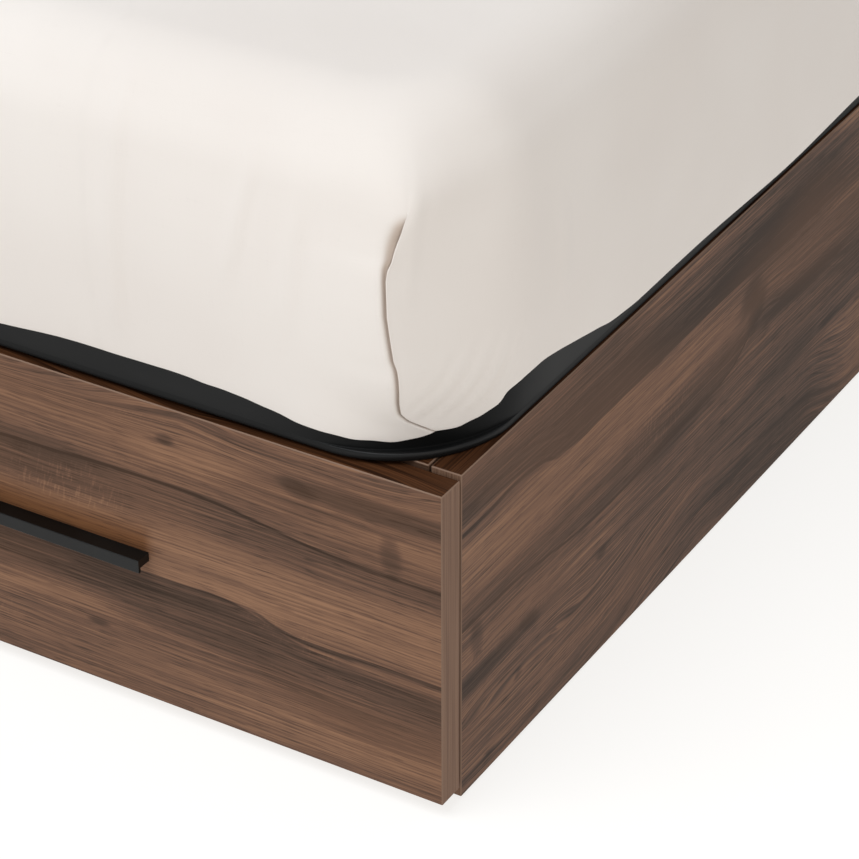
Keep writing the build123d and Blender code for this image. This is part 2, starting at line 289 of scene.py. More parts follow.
def walnut(name, long_axis, seed, shade, fade, grain):
    """Walnut laminate: a printed figure, then bands, growth lines, fibres and pores along the grain.

    The figure is a light band between two dark ones, parted by a sharp edge and a dark vein, with smears and
    knots. Bands and growth lines bend near the edge and the vein, round the knots and into arches. Fibres and
    pores stay nearly straight. The figure is drawn once, at a board's front corner, and the second board of
    each kind has it turned half round. On a board's two ends the grain is upright. Edges facing up are painted
    much darker and redder, as painted shade under the mattress's edge, and the narrow chamfers are painted
    lighter, as a painted highlight along the arrises. Boards along the bed are painted darker and more orange
    above the pulls, as painted shade under the pulls' lip.

    Shade makes the whole print lighter or darker; on the boards across the bed its darkening is partly painted
    shade for the dimmer end panels. Fade darkens the print along the board, as painted shade where the light
    falls off, and grain is how strong its fine lines are.
    """
    wood = Finish(name, Specular_IOR_Level=0.1)
    x, y, z = wood.place()
    facing = [abs(part) for part in wood.facing()]
    up = wood.facing()[2]
    if long_axis == "X":
        end = facing[0]
        near = 1.0 - y.above(0.0) * 2.0
        along = PRINT_END_X - x * near
        across = z + abs(y) - PRINT_FRONT_Y
        thin = y
    else:
        end = facing[1]
        near = x.above(0.0) * 2.0 - 1.0
        along = PRINT_END_Y + y * near
        across = PRINT_TURN - z - abs(x) + PRINT_FRONT_X
        thin = x
    is_end = end.above(0.85)
    share = along / FIGURE_REACH
    drawn = share.between(0.86, 1.0, 1.0, 0.0)

    vein_height = curve_height(wood, share, VEIN_LINE)
    edge_height = curve_height(wood, share, EDGE_LINE)
    by_edge = (edge_height - EDGE_LEVEL) * abs(across - edge_height).between(0.004, 0.045, 1.0, 0.0)
    by_vein = (vein_height - VEIN_LEVEL) * abs(across - vein_height).between(0.004, 0.045, 1.0, 0.0)
    lines = 0.0 - drawn * (by_edge + by_vein)
    by_hill = (curve_height(wood, share, HILL_LINE) - HILL_LEVEL) * across.between(0.256, 0.280)
    eye_along = (along - EYE_ALONG) / EYE_LENGTH
    eye_across = (across - EYE_ACROSS) / EYE_WIDTH
    by_eye = (eye_along * eye_along + eye_across * eye_across).between(0.0, 2.6, EYE_BEND, 0.0)
    arches = by_eye - drawn * by_hill
    wander = wood.noise(along * 2.1, across * 4.5, seed, detail=2.0) - 0.5
    ripple = wood.noise(along * 9.0, across * 30.0, seed + 5.0, detail=1.0) - 0.5
    waver = wander * 0.013 + ripple * 0.0035
    flow = across + lines + arches + waver
    straight = across + lines * 0.12 + arches * 0.7 + waver * 0.6
    smears = 0.0
    for place_along, place_across, length, width, slant, strength in SMEARS:
        aside = along - place_along * MM
        far_along = aside / (length * MM)
        far_across = (across + waver - place_across * MM - aside * slant) / (width * MM)
        spot = (far_along * far_along + far_across * far_across).between(0.0, 3.0, 1.0, 0.0)
        spot = spot * spot * strength
        smears = spot + smears
        flow = flow + spot * far_across * (0.4 * width * MM)

    bands = wood.noise(along * 1.0, flow * 17.0, seed + 1.0, detail=3.0, rough=0.55, distortion=0.25)
    clouds = wood.noise(along * 5.0, flow * 34.0, seed + 2.0, detail=3.0, rough=0.6)
    rings = wood.noise(along * 0.7, flow * 80.0, seed + 13.0, detail=1.0)
    streaks = wood.noise(along * 2.0, flow * 150.0, seed + 9.0, detail=2.0, rough=0.55)
    fibres = wood.noise(along * 7.0, straight * 560.0, seed + 7.0, detail=2.0, rough=0.6)
    pores = wood.noise(along * 42.0, straight * 900.0, seed + 12.0, detail=1.0)

    ragged = across + waver * 0.4 + (streaks - 0.5) * 0.008 + (fibres - 0.5) * 0.005
    clean = across + waver * 0.4 + (fibres - 0.5) * 0.0016
    vein = ragged - vein_height
    edge = clean + (streaks - 0.5) * 0.003 - edge_height
    sliver = abs(clean - curve_height(wood, share, SLIVER_LINE)).between(0.0006, 0.003, 1.0, 0.0)
    over_edge = edge.between(-0.0012, 0.0012)
    over_band = ragged.between(0.168, 0.194)
    over_vein = vein.between(-0.001, 0.002)
    low_dark = (1.0 - over_edge) * (ragged - along.between(0.10, 0.25) * 0.012).between(0.066, 0.092)
    light_band = over_edge * (1.0 - over_band) * along.between(0.44, 0.52, 1.0, 0.35)
    lens = over_edge * ragged.between(0.127, 0.136, 1.0, 0.0) * along.between(0.13, 0.17, 1.0, 0.0)
    high_dark = over_band * (1.0 - over_vein)
    vein_line = abs(clean - vein_height).between(0.0003, 0.002, 1.0, 0.0)
    vein_line = vein_line * clouds.between(0.3, 0.6, 0.5, 1.2)
    smears = smears * (streaks * 0.7 + clouds * 0.7 + fibres * 0.6).between(0.75, 1.2, 0.4, 1.3)
    low_depth = along.between(0.10, 0.20, 0.25, 0.34)
    figure = 0.55 + light_band * 0.22 - low_dark * low_depth - high_dark * 0.17
    figure = figure + over_vein * 0.05 - lens * 0.18

    curl_along = (along - CURL_ALONG) / CURL_LENGTH
    curl_across = (flow - CURL_ACROSS) / CURL_WIDTH
    curl = (curl_along * curl_along + curl_across * curl_across).between(0.2, 1.2, 1.0, 0.0) * drawn
    loose_curl = wood.noise(along * 6.0, flow * 26.0, seed + 10.0).between(0.58, 0.72)
    flecks = wood.noise(along * 380.0 + flow * 90.0, flow * 95.0, seed + 8.0, detail=1.0).between(0.5, 0.7)
    vein_field = wood.noise(along * 0.6, flow * 12.0, seed + 4.0, detail=2.0, rough=0.45)
    loose_veins = abs(vein_field - 0.5).between(0.0, 0.02, 1.0, 0.0) * bands.between(0.62, 0.38)
    growth = abs(rings - 0.5).between(0.0, 0.06, 1.0, 0.0) * clouds.between(0.62, 0.38, 0.2, 1.0)
    free = (bands - 0.5) * 1.9 + 0.55
    # Painted shade: fade lightens the print near the front corner and darkens it along the board as light
    # falls off; on the boards across the bed, shade darkens it too, partly as painted shade
    figure = figure + (bands - 0.5) * 0.16 + along.between(0.0, 0.62, fade * 0.5, -fade)
    tone = wood.pick(drawn, free, figure) + shade
    tone = tone + (clouds - 0.5) * 0.26 + ((streaks - 0.5) * 0.36 + (fibres - 0.5) * 1.12) * grain
    arched = across.between(0.250, 0.275) * drawn
    tone = tone - (pores.between(0.54, 0.72) * 0.24 + growth * (0.09 + arched * 0.13)) * grain
    tone = tone - drawn * (smears * 0.46 + vein_line * 0.48 * grain)
    tone = tone - drawn * sliver * over_edge * share.between(0.2, 0.28, 0.46, 0.0) * grain
    tone = tone - loose_veins * (1.0 - drawn * 0.75) * 0.2
    tone = tone + flecks * (curl * 0.2 + loose_curl * 0.08)
    colour = wood.node("ValToRGB", {"stops": (
        (0.0, (0.037, 0.021, 0.013)),
        (0.26, (0.075, 0.044, 0.030)),
        (0.5, (0.130, 0.070, 0.046)),
        (0.7, (0.196, 0.104, 0.063)),
        (0.95, (0.278, 0.150, 0.087)),
    )}, {0: tone})
    warmth = wood.noise(along * 3.0, flow * 9.0, seed + 3.0, detail=1.0).between(0.4, 0.7)
    colour = wood.mix(warmth * 0.3, colour, (0.185, 0.088, 0.046))
    if long_axis == "X":
        # Painted shade: just above each pull the print is darkened and made more orange, as under the pull's
        # lip
        beside_pull = abs(abs(x) - PULL_MIDDLE).between(PULL_HALF - 0.006, PULL_HALF + 0.008, 1.0, 0.0)
        over_pull = z.between(PULL_TOP + 0.006, PULL_TOP + 0.032, 1.0, 0.0) * z.above(PULL_TOP)
        painted_pull_shade = beside_pull * over_pull * abs(y).above(PRINT_FRONT_Y - 0.003)
        colour = wood.mix(painted_pull_shade * 0.68, colour, (0.53, 0.33, 0.107), kind="MULTIPLY")

    end_lines = wood.noise(z * 5.0, thin * 700.0, seed, detail=2.0, rough=0.6).between(0.3, 0.7)
    end_colour = wood.mix(end_lines, (0.140, 0.077, 0.050), (0.230, 0.135, 0.087))
    # Painted shade: faces looking up are painted near black and red, as in the shade under the mattress
    painted_shade_top = wood.mix(fibres.between(0.3, 0.7), (0.018, 0.006, 0.002), (0.085, 0.032, 0.012))
    colour = wood.mix(is_end, colour, end_colour)
    colour = wood.mix(up.above(0.85), colour, painted_shade_top)
    # Painted highlight: the narrow chamfers are painted a light tan, as light catching the arrises
    flat = facing[0].larger(facing[1]).larger(facing[2])
    colour = wood.mix(1.0 - flat.above(0.85), colour, (0.215, 0.138, 0.097))
    return wood.set(
        Base_Color=colour,
        Roughness=0.48 + fibres * 0.16,
        Normal=wood.bump(streaks * 0.5 + fibres * 0.5, 0.0001, 0.5),
    )


def cream_cotton():
    """Cream cotton: a plain weave of crossed threads on the cloth's own length and width, with faint slubs.

    Inside the tucked corners it is painted browner: painted shade for the dim, warm light deep in the folds,
    where light has passed through several layers.
    """
    cloth = Finish("cream_cotton", Specular_IOR_Level=0.2, Sheen_Weight=0.12, Sheen_Roughness=0.5)
    across, along, _ = cloth.place("UV")
    x, y, z = cloth.place()
    pitch = 2 * math.pi / 0.0006
    warp = across.math("SINE", across * pitch)
    weft = along.math("SINE", along * pitch)
    weave = warp * weft
    slub = cloth.noise(across * 40.0, along * 900.0, 2.0, detail=1.0)
    slub = slub + cloth.noise(across * 900.0, along * 40.0, 4.0, detail=1.0)
    cloud = cloth.noise(x * 5.0, y * 5.0, z * 5.0, detail=2.0)
    colour = cloth.mix(cloud.between(0.3, 0.7), (0.755, 0.697, 0.648), (0.785, 0.732, 0.684))
    colour = cloth.mix(slub.between(1.1, 1.5) * 0.10, colour, (0.60, 0.54, 0.50))
    # Painted shade: the cloth in the folds is painted browner, as in the dim, warm light deep inside them
    painted_fold_shade = cloth.node("Attribute", {"attribute_name": "painted_fold_shade"}, output="Fac")
    colour = cloth.mix(painted_fold_shade.between(0.1, 1.0) * 0.62, colour, (0.44, 0.31, 0.22))
    relief = weave * 0.35 + slub * 0.6
    return cloth.set(Base_Color=colour, Roughness=0.82 + slub * 0.05, Normal=cloth.bump(relief, 0.00008, 0.5))


def border_fabric():
    """Black border fabric: a close coated knit with fine ribs, duller where it is drawn round the corners."""
    cloth = Finish("border_fabric", Specular_IOR_Level=0.0, Coat_Roughness=0.42, Coat_IOR=1.5)
    x, y, z = cloth.place()
    far_x = (HALF_LENGTH - abs(x)) / BORDER_CORNER
    far_y = (HALF_WIDTH - abs(y)) / BORDER_CORNER
    side = (far_x + far_y).between(0.5, 1.5, 0.10, 0.38)
    bound_edge = (far_x + far_y).between(0.45, 0.9, 0.6, 0.3)
    side = cloth.pick(z.above(DECK + TAPE_HEIGHT), bound_edge, side)
    ribs = z.math("SINE", z * (2 * math.pi / 0.0011))
    cloud = cloth.noise(x * 9.0, y * 9.0, z * 30.0, detail=3.0)
    grain = cloth.noise(x * 900.0, y * 900.0, z * 900.0, detail=1.0)
    colour = cloth.mix(cloud.between(0.3, 0.7), (0.0045, 0.0047, 0.0048), (0.0068, 0.0070, 0.0071))
    relief = ribs * 0.3 + grain * 0.5
    return cloth.set(
        Base_Color=colour,
        Roughness=0.7 + cloud * 0.12,
        Coat_Weight=side + cloud * 0.06,
        Normal=cloth.bump(relief, 0.00006, 0.4),
    )


def powder_coat():
    """Black powder coat: a fine orange peel, rubbed a little lighter in patches."""
    coat = Finish("powder_coat", Specular_IOR_Level=0.24)
    x, y, z = coat.place()
    peel = coat.noise(x * 700.0, y * 700.0, z * 700.0, detail=2.0)
    rub = coat.noise(x * 14.0, y * 14.0, z * 14.0, detail=3.0)
    colour = coat.mix(rub.between(0.35, 0.7), (0.0022, 0.0024, 0.0023), (0.0045, 0.0048, 0.0046))
    return coat.set(Base_Color=colour, Roughness=0.24 + rub * 0.1, Normal=coat.bump(peel, 0.00006, 0.35))


def plain_board(name, dark, light, long_axis):
    """Melamine-faced inner board: faint grain lines along the board's length."""
    board = Finish(name, Specular_IOR_Level=0.3)
    x, y, z = board.place()
    along, across = (x, y + z) if long_axis == "X" else (y, x + z)
    lines = board.noise(along * 6.0, across * 260.0, 1.0, detail=3.0, rough=0.6)
    bands = board.noise(along * 0.8, across * 12.0, 2.0, detail=2.0)
    colour = board.mix(lines * 0.6 + bands * 0.4, dark, light)
    return board.set(Base_Color=colour, Roughness=0.5 + lines * 0.12, Normal=board.bump(lines, 0.0001, 0.4))


def speckled(name, dark, light, scale, rough, relief, **fixed):
    """A hard finish with a fine speckle in colour, gloss and relief, for plastic, rubber, lacquer or zinc."""
    finish = Finish(name, **fixed)
    x, y, z = finish.place()
    speckle = finish.noise(x * scale, y * scale, z * scale, detail=3.0)
    smear = finish.noise(x * scale * 0.05, y * scale * 0.05, z * scale * 0.05, detail=2.0)
    colour = finish.mix(speckle * 0.5 + smear * 0.5, dark, light)
    return finish.set(
        Base_Color=colour,
        Roughness=rough + smear * 0.15,
        Normal=finish.bump(speckle, relief, 0.4),
    )


def grid_faces(rows, columns):
    """Quads of a grid whose columns close on themselves.

    Rows run downwards, and columns run anticlockwise seen from above.
    """
    upper = np.arange(rows - 1)[:, None] * columns + np.arange(columns)
    after = np.arange(rows - 1)[:, None] * columns + np.roll(np.arange(columns), -1)
    return np.stack([upper, upper + columns, after + columns, after], -1).reshape(-1, 4)


def pole_faces(ring, pole, columns, upper):
    """Triangles from a closed ring of the grid to one point above it or below it."""
    first = ring * columns + np.arange(columns)
    second = ring * columns + np.roll(np.arange(columns), -1)
    point = np.full(columns, pole)
    order = (point, first, second) if upper else (point, second, first)
    return np.stack(order, -1)


def add_piece(name, points, faces, body, slot, material, uv=None, shade=None):
    """A mesh object at the origin with smooth faces, which rides on a body."""
    mesh = bpy.data.meshes.new(name)
    polygons = [list(face) for part in faces for face in part.tolist()]
    mesh.from_pydata(np.asarray(points).tolist(), [], polygons)
    mesh.update()
    mesh.polygons.foreach_set("use_smooth", np.ones(len(mesh.polygons), bool))
    if uv is not None:
        layer = mesh.uv_layers.new(name="cloth")
        corners = np.zeros(len(mesh.loops), np.int32)
        mesh.loops.foreach_get("vertex_index", corners)
        layer.data.foreach_set("uv", np.asarray(uv, np.float32)[corners].ravel())
    if shade is not None:
        # Painted shade of the folds, kept on the points for the cloth's colour
        mesh.attributes.new("painted_fold_shade", "FLOAT", "POINT").data.foreach_set("value", np.asarray(shade, np.float32))
    mesh.materials.append(material)
    piece = bpy.data.objects.new(name, mesh)
    bpy.context.scene.collection.objects.link(piece)
    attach(piece, body)
    return piece


mattress_low, mattress_high = (np.array(corner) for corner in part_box("mattress"))
HALF_LENGTH, HALF_WIDTH = mattress_high[:2]
DECK = mattress_low[2]
MATTRESS_TOP = mattress_high[2]
CORE_X = HALF_LENGTH - BORDER_CORNER
CORE_Y = HALF_WIDTH - BORDER_CORNER
QUARTER = BORDER_CORNER * math.pi / 2
RUNS = np.array([
    QUARTER / 2, 2 * CORE_Y, QUARTER, 2 * CORE_X, QUARTER, 2 * CORE_Y, QUARTER, 2 * CORE_X, QUARTER / 2,
])
MARKS = np.concatenate(([0], np.cumsum(RUNS)))
ROUND = MARKS[-1]
CORNERS = np.array([0.0, MARKS[2] + QUARTER / 2, MARKS[4] + QUARTER / 2, MARKS[6] + QUARTER / 2])


def outline(place):
    """Shares of the core rectangle and outward direction at a distance round the mattress's outline.

    The outline is a core rectangle pushed out by the corner radius. On a side the core point moves and the
    direction stays. On a corner the direction turns and the core point stays, so both are linear between the
    marks. The distance starts at the middle of the right foot corner and runs anticlockwise.
    """
    place = np.mod(place, ROUND)
    core_x = np.interp(place, MARKS, (1, 1, 1, 1, -1, -1, -1, -1, 1, 1))
    core_y = np.interp(place, MARKS, (-1, -1, 1, 1, 1, 1, -1, -1, -1, -1))
    turn = np.radians(np.interp(place, MARKS, (-45, 0, 0, 90, 90, 180, 180, 270, 270, 315)))
    return core_x, core_y, np.cos(turn), np.sin(turn)


def wall_points(place, stand, height, radius=BORDER_CORNER):
    """Points at a distance round the outline, standing off it, at a height, for a given corner radius."""
    core_x, core_y, out_x, out_y = outline(place)
    x = core_x * (HALF_LENGTH - radius) + (radius + stand) * out_x
    y = core_y * (HALF_WIDTH - radius) + (radius + stand) * out_y
    return np.stack(np.broadcast_arrays(x, y, height), -1)


def top_points(place, inset, top, rings):
    """Rings of the top, each the edge ring scaled towards the middle, with a dome of TOP_DOME (1 - r^2)."""
    edge = wall_points(place, -inset, top)
    scale = np.linspace(0, 1, rings + 1)[1:-1, None, None]
    points = edge[None] * scale
    points[..., 2] = top + TOP_DOME * (1 - scale[..., 0] ** 2)
    return points


def mattress_piece(material):
    """The mattress: a closed form of rings round its outline.

    From the top: a domed panel, a quarter-round crown, an upright border that swells a little, a bound lower
    edge with a tighter corner, and a flat underside. The tighter corner makes the bound edge stand out as a
    crescent.
    """
    corner_steps = np.linspace(-QUARTER / 2, QUARTER / 2, 40)
    side_steps = [np.linspace(QUARTER / 2, gap - QUARTER / 2, 30)[1:-1] for gap in np.diff([*CORNERS, ROUND])]
    place = np.concatenate([corner + np.concatenate((corner_steps, side))
                            for corner, side in zip(CORNERS, side_steps)])
    turn = np.linspace(math.pi / 2, 0, 12)
    rise = np.linspace(MATTRESS_TOP - DECK - CROWN, TAPE_HEIGHT + 3 * MM, 16)[1:]
    swell = 2.0 * MM * np.sin(np.pi * rise / rise[0])
    lip = np.array([
        (0, 1.0, 112), (0, 0.2, 111.8), (0, 0.0, 111.2), (0, -0.1, 109), (0, -0.2, 99.5), (0, -0.5, 98),
        (0, -1.3, 96.6), (0, -2.4, 96), (0, -5.2, 96), (-0.4, -6.0, 96), (-1.4, -6.4, 96), (-6.0, -6.5, 96),
    ]) * MM
    rows = [wall_points(place, -CROWN * (1 - math.cos(a)), MATTRESS_TOP - CROWN * (1 - math.sin(a)))
            for a in turn]
    rows += [wall_points(place, out, DECK + up) for out, up in zip(swell, rise)]
    rows += [wall_points(place, out, DECK + TAPE_HEIGHT + up, radius) for out, up, radius in lip]
    top = top_points(place, CROWN, MATTRESS_TOP, 14)
    grid = np.concatenate([top, np.stack(rows)])
    base = np.array([0, 0, DECK])
    peak = np.array([0, 0, MATTRESS_TOP + TOP_DOME])
    count, columns = grid.shape[:2]
    points = np.concatenate([grid.reshape(-1, 3), [peak, base]])
    faces = [
        grid_faces(count, columns),
        pole_faces(0, count * columns, columns, True),
        pole_faces(count - 1, count * columns + 1, columns, False),
    ]
    piece = add_piece("mattress_body", points, faces, "base", "mattress_border", material)
    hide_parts("mattress")
    return piece


# Height of the hem above the deck, by distance from the middle of the right foot corner along the sheet
HEM_PLACE = np.array([-620, -480, -355, -300, -250, -200, -135, -92, -64, -22, 7, 24, 45, 60, 70, 78, 95, 117,
                      139, 161, 190, 216, 260, 310, 370, 420, 470, 520, 560, 610, 660, 900]) * MM
HEM_HEIGHT = np.array([24, 19, 21, 27.5, 27, 28, 25, 18, 16, 14, 19.5, 20.2, 22.7, 25.2, 28.5, 32, 34.2, 34,
                       31.9, 25.8, 19.8, 13.6, 10, 10.7, 10.8, 9.4, 7.3, 6, 7, 9.3, 11, 14]) * MM
# Height above the deck of points of the folded edge, and how far each is from the middle of the corner
FOLD_HEIGHT = np.array([20.7, 27, 33, 38, 43, 55, 69, 80, 88, 95, 103, 117, 131, 147, 158, 166, 172, 180, 193,
                        210]) * MM
FOLD_PLACE = np.array([7, -2.5, -11.4, -15.8, -18.8, -20.1, -20.4, -20.8, -21.6, -23.4, -24.2, -25.6, -26.8,
                       -27.0, -27.2, -26.3, -24.0, -22.4, -18.5, -14.5]) * MM
# Soft creases: distance from the corner at the top and at the bottom, top and bottom height, width and depth
CREASES = np.array([
    (-230, -240, 250, 60, 9, 1.6),
    (-290, -296, 250, 180, 10, 1.2),
    (-121, -139, 215, 130, 8, 1.2),
    (-82, -90, 195, 110, 9, 1.0),
    (126, 132, 160, 90, 9, 0.8),
    (-6, -12, 225, 150, 5, 0.7),
    (330, 345, 200, 60, 16, 1.2),
    (-430, -445, 230, 70, 14, 1.4),
    (520, 505, 210, 80, 18, 1.3),
]) * MM
# Faint wrinkles by the foot of the fold: the point they curve round, their gap and their height
FAN_PLACE = -80 * MM
FAN_HEIGHT = 130 * MM
FAN_PITCH = 15.5 * MM
FAN_DEPTH = 1.2 * MM
# Which way round the pleat of each corner is folded, so that the foot and head ends mirror themselves
HANDS = (1, -1, 1, -1)
# Columns of a pleat: the run in, the run under the fold, the hidden turn, the run back, the folded edge and
# the run out
STAGE_COLUMNS = (72, 8, 5, 8, 12, 64)
STAGE = np.repeat(np.arange(len(STAGE_COLUMNS)), STAGE_COLUMNS)
STAGE_SHARE = np.concatenate([np.linspace(0, 1, count, endpoint=False) for count in STAGE_COLUMNS])
SIDE_STEP = 18 * MM


def ridge_stand(local, fold, height):
    """How far the cloth stands off a corner: two planes that touch the corner's round and meet at the fold.

    A plane that touches a round of radius R stands R / cos(turn) - R off it, where turn is the angle from the
    place that it touches. The ridge rises from the foot of the fold and is full along most of its height.
    Above the fold it goes on as a softer and softer edge and dies away in the crown.
    """
    peak = PLEAT_FOOT + (PLEAT_RIDGE - PLEAT_FOOT) * smooth(0.025, 0.08, height)
    peak = peak * (1 - smooth(0.195, 0.285, height))
    widest = np.arccos(BORDER_CORNER / (BORDER_CORNER + peak))
    soft = 0.5 * MM + 26 * MM * smooth(0.170, 0.270, height)
    beside = np.hypot(local - fold, soft) - soft
    turn = np.maximum(widest - beside / BORDER_CORNER, 0)
    return BORDER_CORNER / np.cos(turn) - BORDER_CORNER


def pleat(height):
    """Distance from the corner, place of the fold, stand and shade of each column of a pleat, by height.

    Runs are straight lines in the distance, drawn closer together towards the fold, and turns are half sine
    waves. The lower cloth sinks into a groove in front of the folded edge, runs on under it and comes back
    half as deep. The groove is wider at the top of the fold, and lap, groove and turns all end there.
    """
    share = STAGE_SHARE
    fold = np.interp(height, FOLD_HEIGHT, FOLD_PLACE)
    ending = 1 - smooth(0.184, 0.207, height)
    bend = PLEAT_ROUND * ending
    tip = fold + PLEAT_LAP * (1 - smooth(0.160, 0.206, height)) + bend
    start = fold + bend
    depth = PLEAT_GROOVE * ending
    wave = np.sin(np.pi * share)
    step = (1 - np.cos(np.pi * share)) / 2
    runs = (
        fold - (fold + PLEAT_REACH) * (1 - share) ** 1.7,
        fold + (tip - fold) * share,
        tip + bend * wave,
        tip + (start - tip) * share,
        start - bend * wave,
        start + (PLEAT_REACH - start) * share ** 1.7,
    )
    local = np.choose(STAGE, np.broadcast_arrays(*runs))
    width = 2.4 * MM + 4 * MM * smooth(0.155, 0.192, height)
    sunk = np.exp(-(np.maximum(fold - local, 0) / width) ** 2)
    still = 0 * share
    rolled = PLEAT_ROLL * np.exp(-np.maximum(local - start, 0) / (4 * MM))
    layers = (-sunk, still - 1, step / 2 - 1, still - 0.5, step * (0.5 - PLEAT_ROLL) - 0.5, -rolled)
    layer = np.choose(STAGE, np.broadcast_arrays(*layers))
    return local, fold, depth * layer, -layer * (1 - smooth(0.194, 0.212, height))


def hem_line(local, corner):
    """Height of the hem at a distance from a corner: through the chosen points, then in waves of two lengths.

    Near the corner fine waves are added, as the product of two sines.
    """
    near = np.interp(local, HEM_PLACE, HEM_HEIGHT)
    waves = 17 * MM + 5 * MM * np.sin(local / 0.21 + corner * 2.1) + 3 * MM * np.sin(local / 0.083 + corner)
    share = smooth(0.65, 0.9, abs(local)) if corner == 0 else 0.2 + 0.8 * smooth(0.1, 0.4, abs(local))
    fine = 0.7 * MM * np.sin(local / 0.0047 + corner) * np.sin(local / 0.019 + 1)
    fine = fine * (1 - smooth(0.18, 0.25, abs(local)))
    return near * (1 - share) + waves * share + fine


def rounded(values, width):
    """Moving average over neighbouring columns, which takes the corners off lines drawn through points."""
    kernel = np.hanning(width + 2)[1:-1]
    return np.convolve(np.pad(values, width, mode="wrap"), kernel / kernel.sum(), "same")[width:-width]


def crease_depth(local, height):
    """Depth of the soft creases: bell curves across slanted lines, which fade out at both ends."""
    total = np.zeros_like(height)
    for top_place, low_place, top, low, width, depth in CREASES:
        share = np.clip((height - low) / (top - low), 0, 1)
        line = low_place + (top_place - low_place) * share
        fade = smooth(low - 30 * MM, low + 20 * MM, height)
        fade = fade * (1 - smooth(top - 20 * MM, top + 30 * MM, height))
        across = (local - line) / width
        total += depth * fade * np.exp(-across ** 2) * (1 - 1.4 * across)
    return total


def fan_wrinkles(local, height):
    """Faint wrinkles right of the fold's foot: waves in the distance from a point to the left of the fold."""
    radius = np.hypot(local - FAN_PLACE, height - FAN_HEIGHT)
    window = smooth(0.090, 0.106, radius) * (1 - smooth(0.150, 0.178, radius))
    window = window * smooth(0.026, 0.040, height) * (1 - smooth(0.055, 0.105, height))
    window = window * smooth(-0.017, -0.007, local)
    return FAN_DEPTH * window * np.sin((radius - 0.110) * (2 * math.pi / FAN_PITCH))


